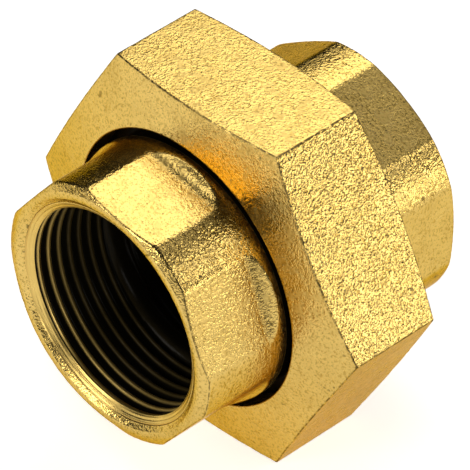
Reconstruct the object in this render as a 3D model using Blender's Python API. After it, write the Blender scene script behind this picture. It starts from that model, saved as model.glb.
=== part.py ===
"""A threaded pipe union for an irrigation line: body, flat gasket, union nut and tailpiece.

The pipe runs along Y. The tailpiece's open end faces -Y and the body's open end faces +Y. The
union nut has one flat up (+Z) and one flat down. Sizes are in metres. Angles are measured
about the pipe, from +Z towards +X.
"""

import math

import bmesh
import bpy

MM = 0.001

# Lengths along the pipe
OVERALL_LENGTH = 59.5 * MM  # end face to end face
TAIL_REACH = 21.2 * MM  # tailpiece's end face to the nut's front corners
NUT_EDGE_LENGTH = 18.0 * MM  # each of the nut's six corner edges
LIP_THICKNESS = 5.0 * MM  # nut wall that holds the tailpiece's collar, at the hole
COLLAR_THICKNESS = 3.5 * MM
GASKET_THICKNESS = 2.0 * MM
COUNTERSINK_DEPTH = 1.7 * MM  # cone at each socket's mouth, down to the thread's crests
SOCKET_THREAD_LENGTH = 15.85 * MM
NECK_LENGTH = 2.4 * MM  # narrow stretch that stops the pipe
RELIEF_WIDTH = 2.4 * MM  # tool relief between the nut's lip and its thread
SHOULDER_STANDOUT = 0.5 * MM  # body shoulder beyond the nut's rear mouth
FLAT_RUNOUT_GAP = 0.6 * MM  # end of the tailpiece's flats to the nut's hole
UNDERCUT_LEAD = 0.2 * MM  # end of the tailpiece's full round to the nut's hole

# Sizes across the pipe, from the thread outwards
PIPE_MAJOR_RADIUS = 20.955 * MM  # G 1 1/4 parallel pipe thread
THREAD_PITCH = 2.309 * MM  # 11 threads to the inch, on the sockets and on the union thread
THREAD_DEPTH = 1.479 * MM
END_WALL = 3.8 * MM  # from the socket thread's roots to the round of each end
END_FLAT_DEPTH = 1.45 * MM  # how far the six flats cut into that round
NUT_SLIDE_CLEARANCE = 1.45 * MM  # nut's hole around the tailpiece
NECK_UNDERCUT = 1.1 * MM  # tailpiece's neck inside the nut, below the round of the end
LIP_BEARING = 1.8 * MM  # how far the collar stands out past the nut's hole
NUT_WALL = 3.69 * MM  # from the union thread's roots to the nut's flats
NECK_STEP = 0.9 * MM  # from the socket thread's crests in to the neck
JOINT_BORE_STEP = 1.9 * MM  # from the neck out to the bore at the joint

# Cones, chamfers and turned edges
NUT_FACE_SLOPE = math.radians(14.0)
END_CHAMFER_SLOPE = math.radians(27.0)
END_RIM = 1.3 * MM  # flat ring of each end face, outside the countersink
COUNTERSINK_STEP = 0.85 * MM  # countersink beyond the socket thread's roots, at the face
FLAT_FILLET = 4.0 * MM
MOUTH_CHAMFER = 0.5 * MM
GASKET_INSET = 0.5 * MM

# Angles of the six flats against the nut's
TAIL_TURN = math.radians(9.0)
BODY_TURN = math.radians(29.4)

# Clearances
SEAT_GAP = 0.3 * MM  # between pieces that press together along the pipe
COLLAR_CLEARANCE = 0.33 * MM  # collar inside the nut's thread crests
UNION_PLAY = 0.15 * MM  # each side of the union thread, across the pipe
OVERRUN = 2.0 * MM  # how far a cutter passes the face it cuts

# Facets
SOCKET_SEGMENTS = 32
UNION_SEGMENTS = 48
OUTSIDE_SEGMENTS = 72
TURNED_PHASE = 0.25  # keeps the ridges of turned pieces off those of threads and flats
FILLET_STEPS = 6
THREAD_SNAP = 0.3  # a row this near an end ring, in facets of lead, lies on it

# Radii that follow
SOCKET_CREST_RADIUS = PIPE_MAJOR_RADIUS - THREAD_DEPTH
COUNTERSINK_RADIUS = PIPE_MAJOR_RADIUS + COUNTERSINK_STEP
NECK_RADIUS = SOCKET_CREST_RADIUS - NECK_STEP
JOINT_BORE_RADIUS = NECK_RADIUS + JOINT_BORE_STEP
END_RADIUS = PIPE_MAJOR_RADIUS + END_WALL
END_FLAT_RADIUS = END_RADIUS - END_FLAT_DEPTH
TAIL_NECK_RADIUS = END_RADIUS - NECK_UNDERCUT
END_RIM_RADIUS = COUNTERSINK_RADIUS + END_RIM
NUT_HOLE_RADIUS = END_RADIUS + NUT_SLIDE_CLEARANCE
COLLAR_RADIUS = NUT_HOLE_RADIUS + LIP_BEARING
NUT_CREST_RADIUS = COLLAR_RADIUS + COLLAR_CLEARANCE
NUT_ROOT_RADIUS = NUT_CREST_RADIUS + THREAD_DEPTH
BODY_CREST_RADIUS = NUT_ROOT_RADIUS - 2 * UNION_PLAY
BODY_ROOT_RADIUS = NUT_CREST_RADIUS - 2 * UNION_PLAY
RELIEF_RADIUS = NUT_ROOT_RADIUS + UNION_PLAY
NUT_FLAT_RADIUS = NUT_ROOT_RADIUS + NUT_WALL
NUT_CORNER_RADIUS = NUT_FLAT_RADIUS / math.cos(math.pi / 6)

# Places along the pipe that follow
TAIL_FACE_Y = -OVERALL_LENGTH / 2
BODY_FACE_Y = OVERALL_LENGTH / 2
NUT_FRONT_Y = TAIL_FACE_Y + TAIL_REACH
NUT_REAR_Y = NUT_FRONT_Y + NUT_EDGE_LENGTH


def nut_front_at(radius):
    """Where the nut's front cone is at a distance from the axis."""
    return NUT_FRONT_Y - (NUT_CORNER_RADIUS - radius) * math.tan(NUT_FACE_SLOPE)


def nut_rear_at(radius):
    """Where the nut's rear cone is at a distance from the axis."""
    return NUT_REAR_Y + (NUT_CORNER_RADIUS - radius) * math.tan(NUT_FACE_SLOPE)


NUT_HOLE_Y = nut_front_at(NUT_HOLE_RADIUS)
NUT_MOUTH_RADIUS = RELIEF_RADIUS + MOUTH_CHAMFER
NUT_MOUTH_Y = nut_rear_at(NUT_MOUTH_RADIUS)
LIP_Y = NUT_HOLE_Y + LIP_THICKNESS
COLLAR_Y = LIP_Y + SEAT_GAP
TAIL_SEAL_Y = COLLAR_Y + COLLAR_THICKNESS
GASKET_Y = TAIL_SEAL_Y + SEAT_GAP
BODY_SEAL_Y = GASKET_Y + GASKET_THICKNESS + SEAT_GAP
SHOULDER_Y = NUT_MOUTH_Y + SHOULDER_STANDOUT

BRASS = {"colour": (0.72, 0.50, 0.17, 1.0), "metallic": 1.0, "roughness": 0.36}
RUBBER = {"colour": (0.02, 0.02, 0.022, 1.0), "metallic": 0.0, "roughness": 0.62}


def make_material(name, colour, metallic, roughness):
    """A plain Principled material."""
    material = bpy.data.materials.new(name)
    material.use_nodes = True
    shader = material.node_tree.nodes["Principled BSDF"]
    shader.inputs["Base Color"].default_value = colour
    shader.inputs["Metallic"].default_value = metallic
    shader.inputs["Roughness"].default_value = roughness
    material.diffuse_color = colour
    return material


def add_object(name, shape, hidden=False):
    """Turns a bmesh into an object, welded, facing outwards and shaded smooth."""
    bmesh.ops.remove_doubles(shape, verts=shape.verts, dist=0.0005 * MM)
    bmesh.ops.recalc_face_normals(shape, faces=shape.faces)
    mesh = bpy.data.meshes.new(name)
    shape.to_mesh(mesh)
    shape.free()
    mesh.shade_smooth()
    mesh.set_sharp_from_angle(angle=math.radians(30))
    thing = bpy.data.objects.new(name, mesh)
    bpy.context.collection.objects.link(thing)
    if hidden:
        thing.hide_render = True
        thing.display_type = "WIRE"
    return thing


def ring(shape, radius, y, segments, phase=0.0):
    """One turned ring of vertices, or a single one on the axis. The phase is in facets."""
    if radius == 0:
        return [shape.verts.new((0, y, 0))] * segments
    turns = [2 * math.pi * (i + phase) / segments for i in range(segments)]
    return [shape.verts.new((radius * math.sin(a), y, radius * math.cos(a))) for a in turns]


def join_rings(shape, low, high):
    """Faces between two rings, with triangles where one of them is a point."""
    count = len(low)
    for i in range(count):
        corners = [low[i], low[(i + 1) % count], high[(i + 1) % count], high[i]]
        face = list(dict.fromkeys(corners))
        if len(face) > 2:
            shape.faces.new(face)


def join_all(shape, rings, closed=False):
    """Faces between each ring and the next, and from the last to the first if closed."""
    for low, high in zip(rings, rings[1:]):
        join_rings(shape, low, high)
    if closed:
        join_rings(shape, rings[-1], rings[0])


def thread_rings(shape, thread, segments):
    """Rows that follow a right-hand thread, as (first row, last row).

    The thread is (start_y, end_y, start, end, inner, outer), where the last four are radii. A
    turn has four rows: one at each edge of the inner land and of the outer one. Over one pitch
    at each end the thread runs out into a plain ring of that end's radius. The rows' angles
    depend on y alone, so two threads of one pitch match wherever they meet.
    """
    start_y, end_y, start, end, inner, outer = thread
    lands = [(0, inner), (1 / 6, inner), (1 / 2, outer), (2 / 3, outer)]
    first = math.floor(start_y / THREAD_PITCH) - 2
    last = math.ceil(end_y / THREAD_PITCH) + 1
    snap = THREAD_SNAP * THREAD_PITCH / segments
    rows = []
    for turn in range(first, last):
        for lift, land in lands:
            row = []
            for i in range(segments):
                y = (turn + lift + i / segments) * THREAD_PITCH
                y = start_y if y < start_y + snap else end_y if y > end_y - snap else y
                radius = start + (land - start) * min(1, (y - start_y) / THREAD_PITCH)
                radius = end + (radius - end) * min(1, (end_y - y) / THREAD_PITCH)
                a = 2 * math.pi * i / segments
                row.append(shape.verts.new((radius * math.sin(a), y, radius * math.cos(a))))
            rows.append(row)
    top = len(rows) - 1
    for r in range(top):
        low = rows[r] + [rows[min(r + len(lands), top)][0]]
        high = rows[r + 1] + [rows[min(r + 1 + len(lands), top)][0]]
        for i in range(segments):
            corners = [low[i], low[i + 1], high[i + 1], high[i]]
            face = list(dict.fromkeys(corners))
            if len(face) > 2:
                shape.faces.new(face)
    return rows[0], rows[-1]


def turned(name, outline, segments, hidden=False):
    """A closed turned solid. The outline is a loop of (radius, y), or runs from axis to axis."""
    shape = bmesh.new()
    rings = [ring(shape, radius, y, segments, TURNED_PHASE) for radius, y in outline]
    join_all(shape, rings, closed=outline[0][0] > 0)
    return add_object(name, shape, hidden)


def threaded(name, before, thread, after, segments, hidden=False):
    """A turned solid with one threaded stretch between two outlines of (radius, y)."""
    shape = bmesh.new()
    rings_before = [ring(shape, radius, y, segments) for radius, y in before]
    rings_after = [ring(shape, radius, y, segments) for radius, y in after]
    first, last = thread_rings(shape, thread, segments)
    join_all(shape, rings_before + [first])
    join_all(shape, [last] + rings_after)
    return add_object(name, shape, hidden)


def hexagonal(name, outline, turn, hidden=False):
    """A closed six-sided solid. The outline is (distance of the flats from the axis, y)."""
    shape = bmesh.new()
    rings = []
    for flat_radius, y in outline:
        corner = flat_radius / math.cos(math.pi / 6)
        turns = [turn + math.pi / 6 + math.pi / 3 * k for k in range(6)]
        rings.append([shape.verts.new((corner * math.sin(a), y, corner * math.cos(a))) for a in turns])
    join_all(shape, rings)
    shape.faces.new(rings[0])
    shape.faces.new(rings[-1])
    return add_object(name, shape, hidden)


def combine(target, operation, tool):
    """Adds an exact Boolean of the hidden tool to the target."""
    modifier = target.modifiers.new(tool.name, "BOOLEAN")
    modifier.operation = operation
    modifier.solver = "EXACT"
    modifier.object = tool


def end_flats(name, face_y, runout_y, far_y, turn):
    """The six flats of an end, which fillet outwards into the round stretch at runout_y."""
    away = math.copysign(1, runout_y - face_y)
    clear = NUT_CORNER_RADIUS + OVERRUN
    outline = [(END_FLAT_RADIUS, face_y - away * OVERRUN)]
    for step in range(FILLET_STEPS + 1):
        a = math.pi / 2 * step / FILLET_STEPS
        radius = END_FLAT_RADIUS + FLAT_FILLET * (1 - math.cos(a))
        outline.append((radius, runout_y - away * FLAT_FILLET * (1 - math.sin(a))))
    outline += [(clear, runout_y), (clear, far_y + away * OVERRUN)]
    return hexagonal(name, outline, turn, hidden=True)


def end_waterway(name, face_y, seal_y):
    """Everything cut out along the pipe: countersink, threaded socket, neck and joint bore."""
    inwards = math.copysign(1, seal_y - face_y)
    outer_y = face_y - inwards * OVERRUN
    thread_y = face_y + inwards * COUNTERSINK_DEPTH
    thread_end_y = thread_y + inwards * SOCKET_THREAD_LENGTH
    neck_y = thread_end_y + inwards * NECK_STEP
    neck_end_y = neck_y + inwards * NECK_LENGTH
    widening = (COUNTERSINK_RADIUS - SOCKET_CREST_RADIUS) / COUNTERSINK_DEPTH
    mouth = [(0, outer_y), (COUNTERSINK_RADIUS + OVERRUN * widening, outer_y)]
    inner = [
        (NECK_RADIUS, neck_y),
        (NECK_RADIUS, neck_end_y),
        (JOINT_BORE_RADIUS, neck_end_y + inwards * JOINT_BORE_STEP),
        (JOINT_BORE_RADIUS, seal_y + inwards * OVERRUN),
        (0, seal_y + inwards * OVERRUN),
    ]
    low, high = (mouth, inner) if inwards > 0 else (inner[::-1], mouth[::-1])
    start_y, end_y = sorted([thread_y, thread_end_y])
    crest, root = SOCKET_CREST_RADIUS, PIPE_MAJOR_RADIUS
    thread = (start_y, end_y, crest, crest, crest, root)
    return threaded(name, low, thread, high, SOCKET_SEGMENTS, hidden=True)


def make_tailpiece(material):
    """The swivel end: six flats, the undercut neck inside the nut's hole, and the collar."""
    chamfer_y = TAIL_FACE_Y + (END_RADIUS - END_RIM_RADIUS) * math.tan(END_CHAMFER_SLOPE)
    outline = [
        (0, TAIL_FACE_Y),
        (END_RIM_RADIUS, TAIL_FACE_Y),
        (END_RADIUS, chamfer_y),
        (END_RADIUS, NUT_HOLE_Y - UNDERCUT_LEAD),
        (TAIL_NECK_RADIUS, NUT_HOLE_Y - UNDERCUT_LEAD),
        (TAIL_NECK_RADIUS, COLLAR_Y),
        (COLLAR_RADIUS, COLLAR_Y),
        (COLLAR_RADIUS, TAIL_SEAL_Y),
        (0, TAIL_SEAL_Y),
    ]
    tail = turned("tailpiece", outline, OUTSIDE_SEGMENTS)
    tail.data.materials.append(material)
    runout_y = NUT_HOLE_Y - FLAT_RUNOUT_GAP
    flats = end_flats("tailpiece_flats", TAIL_FACE_Y, runout_y, TAIL_SEAL_Y, TAIL_TURN)
    combine(tail, "INTERSECT", flats)
    combine(tail, "DIFFERENCE", end_waterway("tailpiece_waterway", TAIL_FACE_Y, TAIL_SEAL_Y))
    return tail


def make_body(material):
    """The fixed end: the male union thread, a shoulder behind it and six flats."""
    chamfer_y = BODY_FACE_Y - (END_RADIUS - END_RIM_RADIUS) * math.tan(END_CHAMFER_SLOPE)
    thread_y = BODY_SEAL_Y + UNION_PLAY
    thread_end_y = SHOULDER_Y - SHOULDER_STANDOUT
    before = [(0, BODY_SEAL_Y), (BODY_ROOT_RADIUS - UNION_PLAY, BODY_SEAL_Y)]
    after = [
        (BODY_ROOT_RADIUS - SHOULDER_STANDOUT, SHOULDER_Y),
        (END_RADIUS, SHOULDER_Y),
        (END_RADIUS, chamfer_y),
        (END_RIM_RADIUS, BODY_FACE_Y),
        (0, BODY_FACE_Y),
    ]
    root, crest = BODY_ROOT_RADIUS, BODY_CREST_RADIUS
    thread = (thread_y, thread_end_y, root, root, root, crest)
    body = threaded("body", before, thread, after, UNION_SEGMENTS)
    body.data.materials.append(material)
    runout_y = SHOULDER_Y + MOUTH_CHAMFER
    flats = end_flats("body_flats", BODY_FACE_Y, runout_y, BODY_SEAL_Y, BODY_TURN)
    combine(body, "INTERSECT", flats)
    combine(body, "DIFFERENCE", end_waterway("body_waterway", BODY_FACE_Y, BODY_SEAL_Y))
    return body


def make_nut(material):
    """The hexagonal nut: coned faces, a lip behind the collar and the female union thread."""
    wide = NUT_CORNER_RADIUS + OVERRUN
    front, rear = nut_front_at(0) - OVERRUN, nut_rear_at(0) + OVERRUN
    nut = hexagonal("union_nut", [(NUT_FLAT_RADIUS, front), (NUT_FLAT_RADIUS, rear)], 0.0)
    nut.data.materials.append(material)
    cones = [(radius, nut_front_at(radius)) for radius in (0, wide)]
    cones += [(radius, nut_rear_at(radius)) for radius in (wide, 0)]
    combine(nut, "INTERSECT", turned("union_nut_cones", cones, OUTSIDE_SEGMENTS, hidden=True))
    relief_y = LIP_Y + RELIEF_WIDTH
    before = [
        (0, front - OVERRUN),
        (NUT_HOLE_RADIUS, front - OVERRUN),
        (NUT_HOLE_RADIUS, LIP_Y),
        (RELIEF_RADIUS, LIP_Y),
        (RELIEF_RADIUS, relief_y),
    ]
    after = [
        (NUT_MOUTH_RADIUS + OVERRUN, NUT_MOUTH_Y + OVERRUN),
        (NUT_MOUTH_RADIUS + OVERRUN, rear + OVERRUN),
        (0, rear + OVERRUN),
    ]
    root, crest = NUT_ROOT_RADIUS, NUT_CREST_RADIUS
    thread_y = relief_y + RELIEF_RADIUS - root
    thread_end_y = NUT_MOUTH_Y - (NUT_MOUTH_RADIUS - root)
    thread = (thread_y, thread_end_y, root, root, crest, root)
    cutter = threaded("union_nut_bore", before, thread, after, UNION_SEGMENTS, hidden=True)
    combine(nut, "DIFFERENCE", cutter)
    return nut


def make_gasket(material):
    """The flat sealing ring between the two seal faces."""
    inner = JOINT_BORE_RADIUS + GASKET_INSET
    outer = COLLAR_RADIUS - GASKET_INSET
    far_y = GASKET_Y + GASKET_THICKNESS
    outline = [(inner, GASKET_Y), (outer, GASKET_Y), (outer, far_y), (inner, far_y)]
    gasket = turned("gasket", outline, OUTSIDE_SEGMENTS)
    gasket.data.materials.append(material)
    return gasket


def main():
    """Clears the scene and builds the four pieces on one axis."""
    for old in list(bpy.data.objects):
        bpy.data.objects.remove(old)
    pieces = [
        make_body(make_material("body_brass", **BRASS)),
        make_gasket(make_material("gasket_rubber", **RUBBER)),
        make_nut(make_material("nut_brass", **BRASS)),
        make_tailpiece(make_material("tailpiece_brass", **BRASS)),
    ]
    axis = bpy.data.objects.new("pipe_axis", None)
    bpy.context.collection.objects.link(axis)
    for piece in pieces:
        piece.parent = axis


main()
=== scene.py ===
"""Looks of a brass pipe union for irrigation lines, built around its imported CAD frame.

The pipe runs along Y and sizes are in metres. Angles are measured about the pipe, from +Z
towards +X. Each metal piece is one closed shell of rings, whose threads and cast skin are made
by Geometry Nodes.
"""

import logging
import math
from dataclasses import dataclass, field
from enum import Enum
from typing import Sequence

import bpy
import numpy as np
from mathutils import Matrix, Vector


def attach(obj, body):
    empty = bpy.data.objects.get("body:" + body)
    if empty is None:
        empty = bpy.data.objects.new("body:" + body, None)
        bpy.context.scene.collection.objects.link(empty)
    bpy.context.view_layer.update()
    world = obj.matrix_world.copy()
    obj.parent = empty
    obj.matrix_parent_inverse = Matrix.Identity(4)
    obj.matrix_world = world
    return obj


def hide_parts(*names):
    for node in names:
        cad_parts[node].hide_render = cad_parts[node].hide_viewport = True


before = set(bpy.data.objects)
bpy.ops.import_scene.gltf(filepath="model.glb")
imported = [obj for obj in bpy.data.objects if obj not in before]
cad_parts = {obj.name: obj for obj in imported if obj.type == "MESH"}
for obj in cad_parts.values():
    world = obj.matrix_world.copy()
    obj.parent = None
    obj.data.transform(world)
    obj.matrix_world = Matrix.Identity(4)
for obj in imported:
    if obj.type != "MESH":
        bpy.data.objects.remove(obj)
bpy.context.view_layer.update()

LOG = logging.getLogger("union")
MM = 0.001
TURN = 2 * math.pi
SIXTH = math.pi / 3

# Sizes that the four pieces share
HALF_LENGTH = 29.75 * MM
PITCH = 2.309 * MM
SOCKET_CREST = 19.476 * MM
SOCKET_ROOT = 20.955 * MM
END_ROUND = 24.755 * MM
END_APOTHEM = 23.305 * MM
END_RIM = 23.105 * MM
NECK_BORE = 18.576 * MM
JOINT_BORE = 20.476 * MM

# The numbers that every point of a shell carries, which the brass reads
MARKS = ("cast", "edge", "shade")

Rows = list["Row"]
Pair = tuple[float, float]
Colour = tuple[float, float, float]
NodeSocket = bpy.types.NodeSocket
Value = float | NodeSocket
Marks = dict[str, NodeSocket]


class Edge(Enum):
    """Which side of a thread is its crest."""

    INSIDE = 0
    OUTSIDE = 1


def new_object(name: str, data: bpy.types.ID) -> bpy.types.Object:
    """An object in the scene, at the origin."""
    thing = bpy.data.objects.new(name, data)
    bpy.context.scene.collection.objects.link(thing)
    return thing


# ---------------------------------------------------------------- node trees


class NodeWriter:
    """Adds and links the nodes of one tree."""

    def __init__(self, tree: bpy.types.NodeTree) -> None:
        """Takes the tree to write in."""
        self.tree = tree

    def put(self, socket: NodeSocket, value: object) -> None:
        """Links a socket to another one, or sets its own value.

        Args:
            socket: the input to fill.
            value: an output socket, or a plain value.
        """
        if isinstance(value, NodeSocket):
            self.tree.links.new(value, socket)
        elif value is not None:
            socket.default_value = value

    def add(self, kind: str, inputs: dict | None = None, **settings: object) -> bpy.types.Node:
        """Adds a node.

        Args:
            kind: the node's type.
            inputs: values by input name or number.
            settings: the node's own properties.

        Returns:
            The node.
        """
        node = self.tree.nodes.new(kind)
        for name, value in settings.items():
            setattr(node, name, value)
        for key, value in (inputs or {}).items():
            self.put(node.inputs[key], value)
        return node

    def math(self, operation: str, *values: Value, clamp: bool = False) -> NodeSocket:
        """The result of one Math node on up to three values."""
        inputs = dict(enumerate(values))
        node = self.add("ShaderNodeMath", inputs, operation=operation, use_clamp=clamp)
        return node.outputs[0]

    def vector(self, operation: str, *values: object) -> bpy.types.Node:
        """A Vector Math node on up to three values."""
        return self.add("ShaderNodeVectorMath", dict(enumerate(values)), operation=operation)

    def ramp(self, value: Value, low: Value, high: Value) -> NodeSocket:
        """A clamped, smoothed step of the value, 0 at low and 1 at high.

        Args:
            value: what is mapped.
            low: the value that gives 0.
            high: the value that gives 1.

        Returns:
            The mapped value.
        """
        inputs = {"Value": value, "From Min": low, "From Max": high, "To Min": 0.0, "To Max": 1.0}
        node = self.add("ShaderNodeMapRange", inputs, interpolation_type="SMOOTHSTEP")
        return node.outputs["Result"]

    def noise(
        self, place: NodeSocket, size: Value, detail: float, rough: float = 0.5
    ) -> NodeSocket:
        """Noise whose waves are about one size long.

        Args:
            place: the coordinates, in metres.
            size: the waves' length, in metres.
            detail: the octaves.
            rough: how strong the finer octaves are.

        Returns:
            The noise, about 0.5 on average.
        """
        scale = self.math("DIVIDE", 1.0, size) if isinstance(size, NodeSocket) else 1.0 / size
        inputs = {"Vector": place, "Scale": scale, "Detail": detail, "Roughness": rough}
        return self.add("ShaderNodeTexNoise", inputs).outputs[0]

    def mix(self, share: Value, first: Colour | NodeSocket, second: Colour) -> NodeSocket:
        """One colour blended into another.

        Args:
            share: how much of the second colour shows.
            first: the first colour, or the socket that gives it.
            second: the second colour.

        Returns:
            The blend.
        """
        if not isinstance(first, NodeSocket):
            first = (*first, 1.0)
        inputs = {"Factor": share, "A": first, "B": (*second, 1.0)}
        node = self.add("ShaderNodeMix", data_type="RGBA")
        for socket in node.inputs:
            if socket.enabled and socket.name in inputs:
                self.put(socket, inputs[socket.name])
        return next(socket for socket in node.outputs if socket.enabled)


class GeometryTree(NodeWriter):
    """A Geometry Nodes tree with named inputs, used as a modifier."""

    def __init__(self, name: str, sizes: dict[str, float | int | bpy.types.Material]) -> None:
        """Makes the tree with a geometry input, one input per size and a material input.

        Args:
            name: the tree's name.
            sizes: the inputs and their values; whole numbers make integer inputs.
        """
        super().__init__(bpy.data.node_groups.new(name, "GeometryNodeTree"))
        interface = self.tree.interface
        interface.new_socket("Geometry", in_out="OUTPUT", socket_type="NodeSocketGeometry")
        interface.new_socket("Geometry", in_out="INPUT", socket_type="NodeSocketGeometry")
        kinds = {
            int: "NodeSocketInt",
            float: "NodeSocketFloat",
            bpy.types.Material: "NodeSocketMaterial",
        }
        self.values: dict[str, object] = {}
        for label, value in sizes.items():
            socket = interface.new_socket(label, in_out="INPUT", socket_type=kinds[type(value)])
            self.values[socket.identifier] = value
        self.given = self.tree.nodes.new("NodeGroupInput").outputs
        self.result = self.tree.nodes.new("NodeGroupOutput")

    def finish(self, geometry: NodeSocket) -> None:
        """Ends the tree in Realize Instances and Set Material."""
        real = self.add("GeometryNodeRealizeInstances", {"Geometry": geometry})
        inputs = {"Geometry": real.outputs[0], "Material": self.given["Material"]}
        dressed = self.add("GeometryNodeSetMaterial", inputs)
        self.put(self.result.inputs[0], dressed.outputs[0])

    def store(self, geometry: NodeSocket, name: str, value: Value) -> NodeSocket:
        """Writes a number on every point.

        Args:
            geometry: what to write on.
            name: the attribute's name.
            value: the number.

        Returns:
            The geometry with the attribute.
        """
        inputs = {"Geometry": geometry, "Name": name, "Value": value}
        kind = "GeometryNodeStoreNamedAttribute"
        return self.add(kind, inputs, data_type="FLOAT", domain="POINT").outputs["Geometry"]

    def attribute(self, name: str) -> NodeSocket:
        """A number kept on the points."""
        kind = "GeometryNodeInputNamedAttribute"
        return self.add(kind, {"Name": name}, data_type="FLOAT").outputs["Attribute"]

    def use_on(self, thing: bpy.types.Object) -> None:
        """Adds the tree to an object as a modifier, its inputs set by identifier."""
        modifier = thing.modifiers.new(self.tree.name, "NODES")
        modifier.node_group = self.tree
        for identifier, value in self.values.items():
            modifier[identifier] = value


# ---------------------------------------------------------------- finishes


class Finish(NodeWriter):
    """A new material, whose nodes it writes."""

    def __init__(self, name: str) -> None:
        """Makes the material and finds its shader and the piece's own coordinates."""
        self.material = bpy.data.materials.new(name)
        self.material.use_nodes = True
        super().__init__(self.material.node_tree)
        self.shader = self.tree.nodes["Principled BSDF"]
        self.place = self.add("ShaderNodeTexCoord").outputs["Object"]

    def look(self, **values: object) -> None:
        """Fills the shader's inputs, named with underscores for spaces."""
        for name, value in values.items():
            self.put(self.shader.inputs[name.replace("_", " ")], value)


@dataclass(frozen=True)
class Brass:
    """Cast and blasted brass with machined faces, marked by the points' own numbers.

    The numbers are "cast" (1 on cast skin, 0 where turned), "edge" (1 on a sharp edge, 0 well
    away from it) and "shade" (1 in a thread's valley and out of the light). A field that ends
    in _from_to is the noise or mark at which a trait starts and is full, and one that ends in
    _share is how much of it then shows.
    """

    name: str
    bright: Colour = (0.66, 0.455, 0.130)
    dull: Colour = (0.28, 0.162, 0.019)
    # soil colours the dark pits, and also the painted dark reflection along the edges.
    soil_and_edge_shade: Colour = (0.060, 0.036, 0.009)
    black: Colour = (0.010, 0.008, 0.004)
    grazing: Colour = (0.72, 0.50, 0.16)
    grain: float = 0.27 * MM
    grain_detail: float = 0.6
    coarse_grain: float = 0.52 * MM
    relief: float = 0.125 * MM
    turned_grain: float = 0.05
    hollow_from_to: Pair = (0.50, 0.34)
    hollow_share: float = 0.62
    patch: float = 7.0 * MM
    patch_from_to: Pair = (0.35, 0.7)
    patch_share: float = 0.15
    pit: float = 2.1 * MM
    pit_from_to: Pair = (0.685, 0.74)
    pit_share: float = 0.7
    # The line fields shape a painted dark reflection, in broken lines along the edges.
    line_break: float = 1.1 * MM
    line_break_from_to: Pair = (0.38, 0.55)
    line_from_to: Pair = (0.80, 0.95)
    line_share: float = 0.85
    tool_pitch: float = 0.32 * MM
    tool_lean: float = 0.7
    tool_height: float = 0.04
    smooth_roughness: float = 0.26
    cast_roughness: float = 0.20
    wear: float = 2.5 * MM
    wear_from_to: Pair = (0.35, 0.7)
    wear_roughness: float = 0.08
    shade_roughness: float = 0.5
    coat: float = 0.06
    coat_roughness: float = 0.22

    def hollows(self, nodes: NodeWriter, place: NodeSocket) -> NodeSocket:
        """The blasted grain's height, fine and coarse together, about 0.5 on average."""
        fine = nodes.noise(place, self.grain, self.grain_detail)
        coarse = nodes.noise(place, self.coarse_grain, 0.0)
        return nodes.math("MULTIPLY", nodes.math("ADD", fine, coarse), 0.5)

    def colour(self, nodes: NodeWriter, place: NodeSocket, marks: Marks) -> NodeSocket:
        """Mottled brass with dark hollows and pits, painted dark reflections along the edges and
        painted shade, near black, in the thread valleys and out of the light.

        Args:
            nodes: the material's writer.
            place: the piece's own coordinates.
            marks: the points' numbers by name, and the grain's height.

        Returns:
            The colour.
        """
        m, ramp = nodes.math, nodes.ramp
        patches = ramp(nodes.noise(place, self.patch, 3.0, 0.6), *self.patch_from_to)
        hollow = m("MULTIPLY", ramp(marks["grain"], *self.hollow_from_to), self.hollow_share)
        hollow = m("MULTIPLY", hollow, marks["cast"])
        blend = m("ADD", m("MULTIPLY", patches, self.patch_share), hollow, clamp=True)
        brass = nodes.mix(blend, self.bright, self.dull)
        pits = ramp(nodes.noise(place, self.pit, 2.0, 0.55), *self.pit_from_to)
        pits = m("MULTIPLY", pits, m("MULTIPLY", marks["cast"], self.pit_share))
        # Painted reflection: dark broken lines along the rounded edges, as of a dark surrounding.
        broken = ramp(nodes.noise(place, self.line_break, 3.0, 0.7), *self.line_break_from_to)
        lines = m("MULTIPLY", ramp(marks["edge"], *self.line_from_to), broken)
        # The pits are dark specks of the brass itself; the edge lines are painted reflection, given
        # the same colour.
        dark_pits_and_edge_shade = m("MAXIMUM", pits, m("MULTIPLY", lines, self.line_share))
        brass_with_pits_and_edge_shade = nodes.mix(dark_pits_and_edge_shade, brass, self.soil_and_edge_shade)
        # Painted shade: where shade is 1, in thread valleys and faces out of the light, the brass
        # goes near black.
        return nodes.mix(marks["shade"], brass_with_pits_and_edge_shade, self.black)

    def bump(self, nodes: NodeWriter, place: NodeSocket, marks: Marks) -> NodeSocket:
        """Blasted grain on the cast skin and fine tool marks on the turned faces.

        Args:
            nodes: the material's writer.
            place: the piece's own coordinates.
            marks: the points' numbers by name, and the grain's height.

        Returns:
            The bumped normal.
        """
        m = nodes.math
        share = m("MULTIPLY", marks["cast"], 1.0 - self.turned_grain)
        grain = m("MULTIPLY", marks["grain"], m("ADD", share, self.turned_grain))
        x, y, z = nodes.add("ShaderNodeSeparateXYZ", {0: place}).outputs
        across = m("SQRT", m("ADD", m("POWER", x, 2.0), m("POWER", z, 2.0)))
        along = m("ADD", across, m("MULTIPLY", y, self.tool_lean))
        tool = m("SINE", m("MULTIPLY", along, TURN / self.tool_pitch))
        turned = m("MULTIPLY", m("SUBTRACT", 1.0, marks["cast"]), self.tool_height)
        height = m("ADD", grain, m("MULTIPLY", tool, turned))
        inputs = {"Strength": 1.0, "Distance": self.relief, "Height": height}
        return nodes.add("ShaderNodeBump", inputs).outputs[0]

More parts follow.
